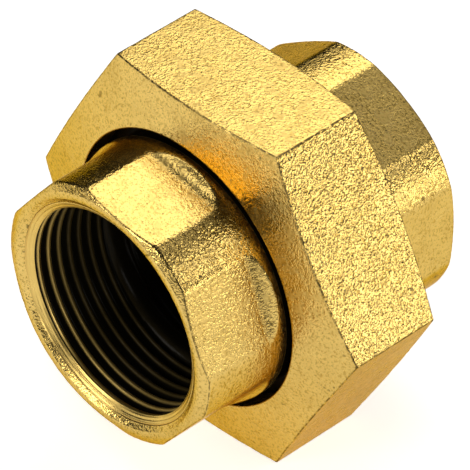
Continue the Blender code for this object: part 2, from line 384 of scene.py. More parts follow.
    def roughness(self, nodes: NodeWriter, place: NodeSocket, marks: Marks) -> NodeSocket:
        """The roughness of cast, turned, worn and shaded brass.

        Args:
            nodes: the material's writer.
            place: the piece's own coordinates.
            marks: the points' numbers by name.

        Returns:
            The roughness.
        """
        m = nodes.math
        cast = m("MULTIPLY", marks["cast"], self.cast_roughness - self.smooth_roughness)
        wear = nodes.ramp(nodes.noise(place, self.wear, 3.0, 0.6), *self.wear_from_to)
        worn = m("MULTIPLY", wear, self.wear_roughness)
        shaded = m("MULTIPLY", marks["shade"], self.shade_roughness)
        return m("ADD", m("ADD", m("ADD", cast, self.smooth_roughness), worn), shaded)

    def build(self) -> bpy.types.Material:
        """Makes the material."""
        nodes = Finish(self.name)
        place = nodes.place
        marks = {
            name: nodes.add("ShaderNodeAttribute", attribute_name=name).outputs["Fac"]
            for name in MARKS
        }
        marks["grain"] = self.hollows(nodes, place)
        nodes.look(
            Base_Color=self.colour(nodes, place, marks), Metallic=1.0,
            Roughness=self.roughness(nodes, place, marks), Normal=self.bump(nodes, place, marks),
            Specular_Tint=(*self.grazing, 1.0), Coat_Weight=self.coat,
            Coat_Roughness=self.coat_roughness,
        )
        return nodes.material


@dataclass(frozen=True)
class Rubber:
    """Matt black sheet rubber with a faint calendered grain and a dusty bloom."""

    name: str
    black: Colour = (0.018, 0.018, 0.020)
    bloom: Colour = (0.060, 0.058, 0.056)
    dust: float = 3.0 * MM
    dust_from_to: Pair = (0.45, 0.75)
    dust_share: float = 0.7
    grain: float = 0.35 * MM
    relief: float = 0.03 * MM
    relief_share: float = 0.6
    roughness: float = 0.48
    roughness_swing: float = 0.2

    def build(self) -> bpy.types.Material:
        """Makes the material."""
        nodes = Finish(self.name)
        dust = nodes.ramp(nodes.noise(nodes.place, self.dust, 4.0, 0.65), *self.dust_from_to)
        dust = nodes.math("MULTIPLY", dust, self.dust_share)
        grain = nodes.noise(nodes.place, self.grain, 2.0, 0.6)
        inputs = {"Strength": self.relief_share, "Distance": self.relief, "Height": grain}
        swing = nodes.math("MULTIPLY", grain, self.roughness_swing)
        nodes.look(
            Base_Color=nodes.mix(dust, self.black, self.bloom),
            Roughness=nodes.math("ADD", swing, self.roughness),
            Normal=nodes.add("ShaderNodeBump", inputs).outputs[0],
        )
        return nodes.material


# ---------------------------------------------------------------- shells


@dataclass
class Row:
    """One ring of points round the pipe, with the numbers that its points carry."""

    angles: np.ndarray
    radii: np.ndarray
    places: np.ndarray
    cast: float | np.ndarray = 0.0
    edge: float | np.ndarray = 0.0
    shade: float | np.ndarray = 0.0

    def points(self) -> np.ndarray:
        """The ring's points, one row each."""
        across, up = self.radii * np.sin(self.angles), self.radii * np.cos(self.angles)
        return np.stack([across, self.places, up], 1)


def even_angles(count: int) -> np.ndarray:
    """Angles of a ring's points at equal steps."""
    return np.arange(count) * TURN / count


def plain_row(angles: np.ndarray, radius: float, y: float, **marks: float) -> Row:
    """A round, flat ring."""
    return Row(angles, np.full(len(angles), radius), np.full(len(angles), y), **marks)


def turned_rows(count: int, outline: Sequence[Pair], step: float, **marks: float) -> Rows:
    """Rings along a turned outline of (radius, y), at most one step apart.

    Args:
        count: the points of each ring.
        outline: the corners of the outline.
        step: the longest stretch between two rings.
        marks: the numbers that the points carry.

    Returns:
        The rings.
    """
    angles = even_angles(count)
    rows = [plain_row(angles, *outline[0], **marks)]
    for (r0, y0), (r1, y1) in zip(outline, outline[1:]):
        parts = max(1, math.ceil(math.hypot(r1 - r0, y1 - y0) / step))
        for k in range(1, parts + 1):
            radius, y = r0 + (r1 - r0) * k / parts, y0 + (y1 - y0) * k / parts
            rows.append(plain_row(angles, radius, y, **marks))
    return rows


def rounded(corner: Pair, before: Pair, after: Pair, radius: float, parts: int) -> list[Pair]:
    """The arc that rounds one corner of an outline.

    Args:
        corner: the corner.
        before: a point on the line that comes in.
        after: a point on the line that goes out.
        radius: the arc's radius.
        parts: how many stretches the arc has.

    Returns:
        The arc's points.
    """
    c = np.array(corner)
    u, v = np.array(before) - c, np.array(after) - c
    u, v = u / np.linalg.norm(u), v / np.linalg.norm(v)
    half = math.acos(max(-1.0, min(1.0, float(u @ v)))) / 2
    reach = radius / math.tan(half)
    middle = c + (u + v) / np.linalg.norm(u + v) * radius / math.sin(half)
    start, end = c + u * reach - middle, c + v * reach - middle
    swing = math.pi - 2 * half
    found: list[Pair] = []
    for k in range(parts + 1):
        a = swing * k / parts
        point = middle + (start * math.sin(swing - a) + end * math.sin(a)) / math.sin(swing)
        found.append((float(point[0]), float(point[1])))
    return found


def zip_rings(
    first: np.ndarray, second: np.ndarray, angles_a: np.ndarray, angles_b: np.ndarray
) -> list[tuple[int, ...]]:
    """Triangles between two rings with different numbers of points.

    Args:
        first: the point numbers of the first ring.
        second: the point numbers of the second ring.
        angles_a: the first ring's angles.
        angles_b: the second ring's angles.

    Returns:
        The triangles, wound as the quads of two equal rings are.
    """
    n, m = len(first), len(second)
    faces = []
    i = j = 0
    while i < n or j < m:
        next_a = angles_a[(i + 1) % n] + TURN * ((i + 1) // n)
        next_b = angles_b[(j + 1) % m] + TURN * ((j + 1) // m)
        if j >= m or (i < n and next_a <= next_b):
            faces.append((first[i % n], first[(i + 1) % n], second[j % m]))
            i += 1
        else:
            faces.append((first[i % n], second[(j + 1) % m], second[j % m]))
            j += 1
    return faces


def shell(name: str, runs: Sequence[Rows], reverse: bool = False) -> bpy.types.Object:
    """A mesh object from runs of rings.

    The rings of a run are joined to each other, and a run to the next one. An empty run leaves
    the room for a thread, and the last run is joined to the first.

    Args:
        name: the object's name.
        runs: the runs of rings, in order along the closed outline.
        reverse: whether the outside is given from +Y to -Y, which turns the faces over.

    Returns:
        The object, with its points' numbers as attributes.
    """
    rows = [row for run in runs for row in run]
    starts = np.cumsum([0] + [len(row.angles) for row in rows])
    counts = np.cumsum([len(run) for run in runs])
    open_after = {int(count) - 1 for run, count in zip(runs, counts) if not run}
    faces: list[tuple[int, ...]] = []
    for a in range(len(rows)):
        if a in open_after:
            continue
        b = (a + 1) % len(rows)
        low = np.arange(starts[a], starts[a + 1])
        high = np.arange(starts[b], starts[b + 1])
        if len(low) == len(high):
            faces += list(zip(low, np.roll(low, -1), np.roll(high, -1), high))
        else:
            faces += zip_rings(low, high, rows[a].angles, rows[b].angles)
    if reverse:
        faces = [face[::-1] for face in faces]
    points = np.concatenate([row.points() for row in rows])
    sizes = np.array([len(face) for face in faces])
    corners = np.concatenate([np.array(face, np.int32) for face in faces])
    mesh = bpy.data.meshes.new(name)
    mesh.vertices.add(len(points))
    mesh.vertices.foreach_set("co", points.astype(np.float32).ravel())
    mesh.loops.add(len(corners))
    mesh.loops.foreach_set("vertex_index", corners)
    mesh.polygons.add(len(faces))
    loop_starts = np.concatenate([[0], np.cumsum(sizes)[:-1]])
    mesh.polygons.foreach_set("loop_start", loop_starts.astype(np.int32))
    mesh.update(calc_edges=True)
    for mark in MARKS:
        values = [np.broadcast_to(getattr(row, mark), len(row.angles)) for row in rows]
        attribute = mesh.attributes.new(mark, "FLOAT", "POINT")
        attribute.data.foreach_set("value", np.concatenate(values).astype(np.float32))
    return new_object(name, mesh)


def soft_min(a: np.ndarray, b: np.ndarray, blend: float) -> np.ndarray:
    """The smaller of two heights, with the corner between them rounded over a blend length."""
    h = np.clip(0.5 + 0.5 * (b - a) / blend, 0.0, 1.0)
    return b + (a - b) * h - blend * h * (1 - h)


# ---------------------------------------------------------------- trees for threads and skin


@dataclass(frozen=True)
class Thread:
    """A right-hand thread between two plain rings, which it runs out into.

    start and end are the rings' y, and inner and outer the radii of the thread's lands. The
    darkness ("shade") comes with the depth below the crest, and with the depth behind the
    socket's mouth as far as gloom says.
    """

    start: float
    end: float
    start_radius: float
    end_radius: float
    inner: float
    outer: float
    crest: Edge
    segments: int
    rows: int
    run_out: float = PITCH
    shift: float = 0.0
    mouth: float = 0.0
    gloom: float = 0.0
    gloom_depth: float = 9.0 * MM
    half_land: float = 1 / 12
    softness: float = 0.55
    shade_from_to: Pair = (0.04, 0.34)
    snap: float = 0.02 * MM
    weld: float = 0.002 * MM

    def tree(self, name: str, material: bpy.types.Material) -> GeometryTree:
        """Builds the tree that adds the thread to a shell.

        Args:
            name: the tree's name.
            material: what the shell is made of.

        Returns:
            The tree.
        """
        first = math.floor(self.start / PITCH) - 2
        turns = math.ceil(self.end / PITCH) + 2 - first
        tree = GeometryTree(name, {
            "Pitch": PITCH, "Start": self.start, "End": self.end,
            "Start Radius": self.start_radius, "End Radius": self.end_radius,
            "Inner Radius": self.inner, "Outer Radius": self.outer, "Run Out": self.run_out,
            "Shift": self.shift, "Crest Outside": float(self.crest.value),
            "Mouth": self.mouth, "Gloom": self.gloom, "Gloom Depth": self.gloom_depth,
            "First Turn": first, "Turns": turns, "Rows per Turn": self.rows,
            "Segments": self.segments, "Snap": self.snap, "Weld": self.weld,
            "Material": material,
        })
        g, m = tree.given, tree.math
        rows = m("ADD", m("MULTIPLY", g["Turns"], g["Rows per Turn"]), 1.0)
        columns = m("ADD", g["Segments"], 1.0)
        size = {"Size X": 1.0, "Size Y": 1.0, "Vertices X": rows, "Vertices Y": columns}
        grid = tree.add("GeometryNodeMeshGrid", size).outputs["Mesh"]
        index = tree.add("GeometryNodeInputIndex").outputs[0]
        row = m("FLOOR", m("DIVIDE", m("ADD", index, 0.5), columns))
        column = m("SUBTRACT", index, m("MULTIPLY", row, columns))
        lift = m("DIVIDE", row, g["Rows per Turn"])
        share = m("DIVIDE", column, g["Segments"])
        turn = m("ADD", m("ADD", g["First Turn"], g["Shift"]), m("ADD", lift, share))
        y = self.snapped(tree, m("MULTIPLY", turn, g["Pitch"]))
        land = self.land(tree, lift)
        angle = m("MULTIPLY", share, TURN)
        radius = self.radius(tree, land, y)
        across = m("MULTIPLY", radius, m("SINE", angle))
        up = m("MULTIPLY", radius, m("COSINE", angle))
        spot = tree.add("ShaderNodeCombineXYZ", {0: across, 1: y, 2: up}).outputs[0]
        placed = tree.add("GeometryNodeSetPosition", {"Geometry": grid, "Position": spot})
        worked = tree.store(placed.outputs[0], "shade", self.shade(tree, land, y))
        if self.crest is Edge.OUTSIDE:
            worked = tree.add("GeometryNodeFlipFaces", {"Mesh": worked}).outputs[0]
        joined = tree.add("GeometryNodeJoinGeometry")
        tree.put(joined.inputs[0], worked)
        tree.put(joined.inputs[0], g["Geometry"])
        inputs = {"Geometry": joined.outputs[0], "Distance": g["Weld"]}
        tree.finish(tree.add("GeometryNodeMergeByDistance", inputs).outputs[0])
        return tree

    def land(self, tree: GeometryTree, lift: NodeSocket) -> NodeSocket:
        """How far out a row is between the lands, 0 at the inner one and 1 at the outer one."""
        m = tree.math
        away = m("ABSOLUTE", m("SUBTRACT", m("FRACT", m("ADD", lift, 0.5 - self.half_land)), 0.5))
        flank = 0.5 - 2 * self.half_land
        land = m("MULTIPLY", m("SUBTRACT", away, self.half_land), 1 / flank, clamp=True)
        soft = m("MULTIPLY", tree.ramp(land, 0.0, 1.0), self.softness)
        return m("ADD", m("MULTIPLY", land, 1.0 - self.softness), soft)

    @staticmethod
    def radius(tree: GeometryTree, land: NodeSocket, y: NodeSocket) -> NodeSocket:
        """The radius of a row's points, drawn to the rings' own where the thread runs out."""
        g, m = tree.given, tree.math
        height = m("SUBTRACT", g["Outer Radius"], g["Inner Radius"])
        radius = m("ADD", g["Inner Radius"], m("MULTIPLY", land, height))
        for ring, end, sign in (("Start Radius", "Start", 1.0), ("End Radius", "End", -1.0)):
            into = m("MULTIPLY", m("SUBTRACT", y, g[end]), sign)
            gone = m("DIVIDE", into, g["Run Out"], clamp=True)
            radius = m("ADD", g[ring], m("MULTIPLY", m("SUBTRACT", radius, g[ring]), gone))
        return radius

    def shade(self, tree: GeometryTree, land: NodeSocket, y: NodeSocket) -> NodeSocket:
        """How dark a row is, from its depth below the crest and behind the mouth."""
        g, m = tree.given, tree.math
        inside = m("SUBTRACT", 1.0, g["Crest Outside"])
        depth = m("ABSOLUTE", m("SUBTRACT", m("SUBTRACT", 1.0, land), inside))
        behind = m("ABSOLUTE", m("SUBTRACT", y, g["Mouth"]))
        deep = m("MULTIPLY", m("DIVIDE", behind, g["Gloom Depth"], clamp=True), g["Gloom"])
        return m("MAXIMUM", tree.ramp(depth, *self.shade_from_to), deep)

    @staticmethod
    def snapped(tree: GeometryTree, y: NodeSocket) -> NodeSocket:
        """Rows past an end, or very near it, lie on that end's ring."""
        g, m = tree.given, tree.math
        near_start = m("LESS_THAN", y, m("ADD", g["Start"], g["Snap"]))
        near_end = m("GREATER_THAN", y, m("SUBTRACT", g["End"], g["Snap"]))
        y = m("ADD", y, m("MULTIPLY", near_start, m("SUBTRACT", g["Start"], y)))
        return m("ADD", y, m("MULTIPLY", near_end, m("SUBTRACT", g["End"], y)))


@dataclass(frozen=True)
class CastSkin:
    """The uneven skin of a blasted casting, sunk into the points marked as cast."""

    wave: float = 1.3 * MM
    wave_depth: float = 0.055 * MM
    grain: float = 0.62 * MM
    grain_depth: float = 0.05 * MM
    pit_spacing: float = 2.6 * MM
    pit_from_to: Pair = (0.22, 0.06)
    pit_depth: float = 0.05 * MM
    chip_waves: float = 1.6
    chip_from_to: Pair = (0.45, 0.75)
    edge_wear: float = 0.05 * MM

    def tree(self, name: str, material: bpy.types.Material) -> GeometryTree:
        """Builds the tree that roughens a shell.

        Args:
            name: the tree's name.
            material: what the shell is made of.

        Returns:
            The tree.
        """
        tree = GeometryTree(name, {
            "Wave": self.wave, "Wave Depth": self.wave_depth, "Grain": self.grain,
            "Grain Depth": self.grain_depth, "Pit Spacing": self.pit_spacing,
            "Pit Depth": self.pit_depth, "Chip Waves": self.chip_waves,
            "Edge Wear": self.edge_wear, "Material": material,
        })
        g, m = tree.given, tree.math
        place = tree.add("GeometryNodeInputPosition").outputs[0]
        waves = m("MULTIPLY", tree.noise(place, g["Wave"], 2.0), g["Wave Depth"])
        grains = m("MULTIPLY", tree.noise(place, g["Grain"], 1.0), g["Grain Depth"])
        inputs = {"Vector": place, "Scale": m("DIVIDE", 1.0, g["Pit Spacing"])}
        cells = tree.add("ShaderNodeTexVoronoi", inputs).outputs["Distance"]
        pits = m("MULTIPLY", tree.ramp(cells, *self.pit_from_to), g["Pit Depth"])
        chips = tree.noise(place, m("MULTIPLY", g["Wave"], g["Chip Waves"]), 3.0)
        worn = m("MULTIPLY", tree.ramp(chips, *self.chip_from_to), tree.attribute("edge"))
        worn = m("MULTIPLY", worn, g["Edge Wear"])
        sink = m("ADD", m("ADD", m("ADD", waves, grains), pits), worn)
        sink = m("MULTIPLY", sink, tree.attribute("cast"))
        normal = tree.add("GeometryNodeInputNormal").outputs[0]
        offset = tree.vector("SCALE", normal)
        tree.put(offset.inputs["Scale"], m("MULTIPLY", sink, -1.0))
        inputs = {"Geometry": g["Geometry"], "Offset": offset.outputs[0]}
        moved = tree.add("GeometryNodeSetPosition", inputs).outputs[0]
        tree.finish(tree.add("GeometryNodeSetShadeSmooth", {"Geometry": moved}).outputs[0])
        return tree


# ---------------------------------------------------------------- the pieces


def bake(thing: bpy.types.Object, name: str) -> bpy.types.Object:
    """Turns an object with its modifiers into one plain mesh object.

    Args:
        thing: the object, which is removed.
        name: the new object's name.

    Returns:
        The plain object, at the origin.
    """
    bpy.context.view_layer.update()
    evaluated = thing.evaluated_get(bpy.context.evaluated_depsgraph_get())
    mesh = bpy.data.meshes.new_from_object(evaluated)
    mesh.name = name
    bpy.data.objects.remove(thing)
    return new_object(name, mesh)


@dataclass
class EndShape:
    """The outside of an end: a rounded rim, six flats and the round between them.

    Distances along the end are measured from its face. The flats run out at runout, and the
    end stops at length. flat_grain is how cast the flats are beside the corners, which are
    cast all over.
    """

    turn: float
    runout: float
    length: float
    fillet: float = 4.0 * MM
    slope: float = math.radians(27.0)
    columns: int = 540
    corner_blend: float = 0.22 * MM
    rim_blend: float = 0.50 * MM
    rim_length: float = 1.9 * MM
    rim_step: float = 0.09 * MM
    fillet_step: float = 0.165 * MM
    step: float = 0.30 * MM
    flat_half: float = math.acos(END_APOTHEM / END_ROUND)
    flat_grain: float = 0.72
    grain_start: float = 0.8
    grain_width: float = 0.25
    edge_width: float = 1.2 * MM

    def stations(self) -> np.ndarray:
        """Distances of the rows from the face, closer together at the rim and the fillet."""
        rim = np.arange(0.0, self.rim_length, self.rim_step)
        fillet = self.runout - self.fillet
        rows = max(2, round((fillet - rim[-1]) / self.step))
        straight = np.linspace(rim[-1] + self.rim_step, fillet, rows)
        curve = np.linspace(fillet, self.runout, round(self.fillet / self.fillet_step) + 1)[1:]
        rows = max(1, round((self.length - self.runout) / self.step))
        tail = np.linspace(self.runout, self.length, rows + 1)[1:]
        return np.concatenate([rim, straight, curve, tail])

    def apothem(self, distance: float) -> float:
        """How far the flats are from the axis."""
        into = distance - (self.runout - self.fillet)
        if into <= 0:
            return END_APOTHEM
        if into >= self.fillet:
            return END_ROUND + self.fillet
        return END_APOTHEM + self.fillet - math.sqrt(self.fillet**2 - into**2)

    def rows(self, face: float, inwards: float) -> Rows:
        """The rows of the outside, from the face inwards.

        Args:
            face: the end face's y.
            inwards: 1 where the end runs towards +Y, else -1.

        Returns:
            The rows.
        """
        angles = even_angles(self.columns)
        offset = (angles - self.turn + SIXTH / 2) % SIXTH - SIXTH / 2
        corner = np.abs(offset) / self.flat_half - self.grain_start
        corner = np.clip(corner / self.grain_width, 0.0, 1.0)
        cast = self.flat_grain + (1.0 - self.flat_grain) * corner
        rows = []
        for distance in self.stations():
            flat = self.apothem(distance) / np.cos(offset)
            outside = soft_min(np.full(self.columns, END_ROUND), flat, self.corner_blend)
            band = np.full(self.columns, END_RIM + distance / math.tan(self.slope))
            radii = soft_min(outside, band, self.rim_blend)
            edge = np.clip(1.0 - np.abs(outside - band) / self.edge_width, 0.0, 1.0)
            places = np.full(self.columns, face + inwards * distance)
            rows.append(Row(angles, radii, places, cast=cast, edge=edge))
        rows[0].radii = np.minimum(rows[0].radii, END_RIM)
        return rows


@dataclass
class Socket:
    """A pipe socket: countersink with turned rings, thread, neck and the bore at the joint.

    The countersink is a turned cone up to a small raised step, and a rough one from there to
    the face. Depths are measured from the face, and ridges are what the turned rings stand
    out or in by.
    """

    face: float
    inwards: float
    seal: float
    segments: int = 288
    hidden: int = 180
    rows: int = 16
    shift: float = 0.0
    sink_depth: float = 1.70 * MM
    sink_radius: float = 21.805 * MM
    step_depth: float = 0.85 * MM
    step_radius: float = 20.66 * MM
    step_crest: Pair = (0.16 * MM, 0.06 * MM)
    step_side: Pair = (0.22 * MM, -0.12 * MM)
    rim_round: Pair = (0.04 * MM, 0.10 * MM)
    rim_spread: float = 0.10 * MM
    row_step: float = 0.12 * MM
    ridges: tuple[float, ...] = (0.02 * MM, -0.04 * MM, 0.03 * MM, 0.07 * MM, -0.03 * MM, 0.04 * MM)
    thread_depth: float = 17.55 * MM
    run_out: float = 0.35 * PITCH
    gloom: float = 0.92
    neck_gap: float = 0.9 * MM
    neck_length: float = 2.4 * MM
    neck_slope: float = 1.9 * MM
    neck_step: float = 1.0 * MM

    def at(self, depth: float) -> float:
        """The y of a depth behind the face."""
        return self.face + self.inwards * depth

    def thread(self) -> Thread:
        """The socket's thread."""
        start, end = sorted([self.at(self.sink_depth), self.at(self.thread_depth)])
        return Thread(
            start, end, SOCKET_CREST, SOCKET_CREST, SOCKET_CREST, SOCKET_ROOT, Edge.INSIDE,
            self.segments, self.rows, run_out=self.run_out, shift=self.shift, mouth=self.face,
            gloom=self.gloom,
        )

    def turned(self, outline: Sequence[Pair], **marks: float) -> Rows:
        """Rows of the countersink along an outline of (radius, depth)."""
        places = [(radius, self.at(depth)) for radius, depth in outline]
        return turned_rows(self.segments, places, self.row_step, **marks)

    def mouth_rows(self) -> Rows:
        """The countersink, from the thread out to the rim's inner edge."""
        low, high = (SOCKET_CREST, self.sink_depth), (self.step_radius, self.step_depth)
        smooth = [low]
        for k, lift in enumerate(self.ridges):
            share = (k + 1) / (len(self.ridges) + 1)
            radius = low[0] + (high[0] - low[0]) * share
            smooth.append((radius + lift, low[1] + (high[1] - low[1]) * share))
        for out, down in ((0.0, 0.0), self.step_crest, self.step_side):
            smooth.append((high[0] + out, high[1] + down))
        rough = [
            smooth[-1], (self.sink_radius - self.rim_round[0], self.rim_round[1]),
            (self.sink_radius + self.rim_spread, 0.0),
        ]
        return self.turned(smooth) + self.turned(rough, cast=1.0)[1:]

    def inner_rows(self) -> Rows:
        """The joint's bore and the neck, from the seal face to the ring that meets the thread."""
        neck = self.thread_depth + self.neck_gap
        bore = neck + self.neck_length
        outline = [
            (JOINT_BORE, self.seal), (JOINT_BORE, self.at(bore + self.neck_slope)),
            (NECK_BORE, self.at(bore)), (NECK_BORE, self.at(neck)),
        ]
        rows = turned_rows(self.hidden, outline, self.neck_step, shade=1.0)
        angles = even_angles(self.segments)
        return rows + [plain_row(angles, SOCKET_CREST, self.at(self.thread_depth), shade=1.0)]


@dataclass
class Piece:
    """A piece of the union and the CAD body that carries it."""

    node: str
    slot: str

    def dress(self, thing: bpy.types.Object) -> bpy.types.Object:
        """Puts a finished piece on its CAD body, in place of its CAD node.

        Args:
            thing: the finished object.

        Returns:
            The same object.
        """
        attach(thing, self.node)
        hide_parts(self.node)
        return thing


@dataclass
class Tailpiece(Piece):
    """The swivel end: six flats, an undercut neck and the collar that the nut holds."""

    node: str = "tailpiece"
    slot: str = "tailpiece_brass"
    finish: Brass = Brass("tailpiece_cast_brass")
    skin: CastSkin = CastSkin()
    collar_radius: float = 28.005 * MM
    collar_front: float = -6.360 * MM
    collar_chamfer: float = 0.2 * MM
    seal: float = -2.862 * MM
    neck: float = 23.655 * MM
    shoulder_round: tuple[Pair, ...] = ((0.04 * MM, 0.12 * MM), (0.16 * MM, 0.20 * MM))
    shoulder: float = 0.22 * MM
    hidden_step: float = 0.8 * MM
    end: EndShape = field(
        default_factory=lambda: EndShape(math.radians(9.0), 18.03 * MM, 18.30 * MM)
    )
    socket: Socket = field(
        default_factory=lambda: Socket(-HALF_LENGTH, 1.0, -2.862 * MM, shift=0.5)
    )

    def hidden_rows(self) -> Rows:
        """The neck, the collar and the seal face, which the nut hides."""
        step = -HALF_LENGTH + self.end.length
        radius, chamfer = self.collar_radius, self.collar_chamfer
        outline = [(END_ROUND - inset, step + deep) for inset, deep in self.shoulder_round]
        outline += [
            (self.neck, step + self.shoulder), (self.neck, self.collar_front),
            (radius - chamfer, self.collar_front), (radius, self.collar_front + chamfer),
            (radius, self.seal - chamfer), (radius - chamfer, self.seal),
            (JOINT_BORE, self.seal),
        ]
        return turned_rows(self.socket.hidden, outline, self.hidden_step, shade=1.0)

    def build(self) -> bpy.types.Object:
        """Makes the tailpiece."""
        material = self.finish.build()
        outside = self.end.rows(-HALF_LENGTH, 1.0)
        inner = self.socket.inner_rows()[1:]
        runs = [outside, self.hidden_rows(), inner, [], self.socket.mouth_rows()]
        base = shell("tailpiece_shell", runs)
        self.socket.thread().tree("tailpiece_thread", material).use_on(base)
        self.skin.tree("tailpiece_skin", material).use_on(base)
        return self.dress(bake(base, "tailpiece_brass_swivel_end"))


@dataclass
class Body(Piece):
    """The fixed end: male union thread, shoulder and six flats."""

    node: str = "body"
    slot: str = "body_brass"
    finish: Brass = Brass("body_cast_brass")
    skin: CastSkin = CastSkin()
    root: float = 28.035 * MM
    crest: float = 29.514 * MM
    seal: float = -0.262 * MM
    seal_chamfer: float = 0.15 * MM
    thread_start: float = -0.112 * MM
    thread_end: float = 11.513 * MM
    thread_segments: int = 288
    thread_rows: int = 12
    shoulder: float = 12.013 * MM
    shoulder_chamfer: float = 0.5 * MM
    shoulder_step: float = 0.6 * MM
    seal_step: float = 1.0 * MM
    end: EndShape = field(
        default_factory=lambda: EndShape(math.radians(29.4), 17.24 * MM, 17.6 * MM)
    )
    socket: Socket = field(
        default_factory=lambda: Socket(HALF_LENGTH, -1.0, -0.262 * MM, segments=240, rows=12)
    )

    def build(self) -> bpy.types.Object:
        """Makes the body."""
        material = self.finish.build()
        union = Thread(
            self.thread_start, self.thread_end, self.root, self.root, self.root, self.crest,
            Edge.OUTSIDE, self.thread_segments, self.thread_rows,
        )
        outside = self.end.rows(HALF_LENGTH, -1.0)
        shoulder = turned_rows(self.thread_segments, [
            (END_ROUND, self.shoulder), (self.root - self.shoulder_chamfer, self.shoulder),
            (self.root, self.thread_end),
        ], self.shoulder_step)
        before = [plain_row(even_angles(self.thread_segments), self.root, self.thread_start)]
        outline = [(self.root - self.seal_chamfer, self.seal), (JOINT_BORE, self.seal)]
        seal = turned_rows(self.socket.hidden, outline, self.seal_step)
        inner = self.socket.inner_rows()[1:]
        runs = [outside, shoulder, [], before, seal, inner, [], self.socket.mouth_rows()]
        base = shell("body_shell", runs, reverse=True)
        union.tree("body_union_thread", material).use_on(base)
        self.socket.thread().tree("body_socket_thread", material).use_on(base)
        self.skin.tree("body_skin", material).use_on(base)
        return self.dress(bake(base, "body_brass_fixed_end"))


@dataclass
class UnionNut(Piece):
    """The hexagonal nut: coned faces, a lip behind the collar and the female union thread.

    flat_grain is how cast each flat is, from the top one round towards +X, and face_grain how
    cast the coned faces are.
    """

    node: str = "union_nut"
    slot: str = "nut_brass"
    finish: Brass = Brass("nut_cast_brass")
    skin: CastSkin = CastSkin()
    apothem: float = 33.504 * MM
    corner: float = 38.687 * MM
    front: float = -8.55 * MM
    rear: float = 9.45 * MM
    slope: float = math.radians(14.0)
    hole: float = 26.205 * MM
    hole_chamfer: float = 0.25 * MM
    hole_round: float = 0.08 * MM
    lip: float = -6.674 * MM
    relief: float = 29.964 * MM
    relief_end: float = -4.274 * MM
    crest: float = 28.335 * MM
    root: float = 29.814 * MM
    mouth: float = 30.464 * MM
    mouth_round: Pair = (0.05 * MM, 0.02 * MM)
    edge_radius: float = 0.28 * MM
    corner_radius: float = 0.35 * MM
    edge_width: float = 2.0 * MM
    flat_grain: tuple[float, ...] = (0.68, 1.15, 0.75, 0.9, 0.8, 0.85)
    face_grain: float = 0.72
    flat_columns: int = 96
    corner_columns: int = 4
    flat_rows: int = 50
    front_rows: int = 26
    rear_rows: int = 13
    arc_rows: int = 4
    segments: int = 300
    thread_rows: int = 10
    lip_step: float = 0.8 * MM
    mouth_step: float = 0.4 * MM

    def outline_angles(self) -> tuple[np.ndarray, np.ndarray, np.ndarray]:
        """The columns round the hexagon.

        Returns:
            The angle and the radius of each column, and how near it is to a corner edge.
        """
        reach = self.corner_radius * math.tan(SIXTH / 2)
        half = self.apothem * math.tan(SIXTH / 2)
        xs = np.linspace(-half + reach, half - reach, self.flat_columns)
        centre = (self.apothem - self.corner_radius) / math.cos(SIXTH / 2)
        angles, radii, near = [], [], []
        for side in range(6):
            middle = side * SIXTH
            angles.append(middle + np.arctan2(xs, self.apothem))
            radii.append(np.hypot(xs, self.apothem))
            near.append(np.clip(1.0 - (half - np.abs(xs)) / self.edge_width, 0.0, 1.0))
            towards = middle + SIXTH / 2
            for k in range(1, self.corner_columns + 1):
                swing = middle + SIXTH * k / (self.corner_columns + 1)
                x = centre * math.sin(towards) + self.corner_radius * math.sin(swing)
                z = centre * math.cos(towards) + self.corner_radius * math.cos(swing)
                angles.append([math.atan2(x, z)])
                radii.append([math.hypot(x, z)])
                near.append([1.0])
        angles, radii, near = map(np.concatenate, (angles, radii, near))
        angles = angles % TURN
        order = np.argsort(angles)
        return angles[order], radii[order], near[order]

    def face_at(self, radius: float, side: float) -> float:
        """Where the front cone (side -1) or the rear one (side 1) is at a radius."""
        level = self.front if side < 0 else self.rear
        return level + side * (self.corner - radius) * math.tan(self.slope)

    def outside_rows(self) -> Rows:
        """The rows of the outside, from the front hole's edge over the flats to the rear mouth."""
        angles, radii, near = self.outline_angles()
        table = np.array([self.profile(float(radius)) for radius in radii])
        last_row = table.shape[1] - self.rear_rows
        blasting = np.array(self.flat_grain)[np.round(angles / SIXTH).astype(int) % 6]
        rows = []
        for j in range(table.shape[1]):
            radius, y, distance = table[:, j].T
            on_flat = self.front_rows <= j < last_row
            edge = np.clip(1.0 - distance / self.edge_width, 0.0, 1.0)
            edge = np.maximum(edge, near) if on_flat else edge
            cast = blasting if on_flat else self.face_grain
            rows.append(Row(angles, radius, y, cast=cast, edge=edge))
        return rows

    def profile(self, radius: float) -> list[tuple[float, float, float]]:
        """One column's outline.

        Args:
            radius: the hexagon's radius there.

        Returns:
            Points of (radius, y, distance to the nearest edge of the flats).
        """
        front = (radius, self.face_at(radius, -1.0))
        rear = (radius, self.face_at(radius, 1.0))
        hole = self.hole + self.hole_chamfer
        mouth = self.mouth + self.mouth_round[0]
        first = (hole, self.face_at(hole, -1.0))
        last = (mouth, self.face_at(mouth, 1.0))
        arc_a = rounded(front, first, rear, self.edge_radius, self.arc_rows)
        arc_b = rounded(rear, front, last, self.edge_radius, self.arc_rows)
        face = [self.between(first, arc_a[0], k / self.front_rows) for k in range(self.front_rows)]
        shares = [(k + 1) / (self.flat_rows + 1) for k in range(self.flat_rows)]
        flat = [self.between(arc_a[-1], arc_b[0], share) for share in shares]
        shares = [(k + 1) / self.rear_rows for k in range(self.rear_rows)]
        back = [self.between(arc_b[-1], last, share) for share in shares]
        found = face + arc_a + flat + arc_b + back
        return [(r, y, min(math.dist((r, y), front), math.dist((r, y), rear))) for r, y in found]

    @staticmethod
    def between(a: Pair, b: Pair, share: float) -> Pair:
        """A point part of the way from one to the other."""
        return a[0] + (b[0] - a[0]) * share, a[1] + (b[1] - a[1]) * share

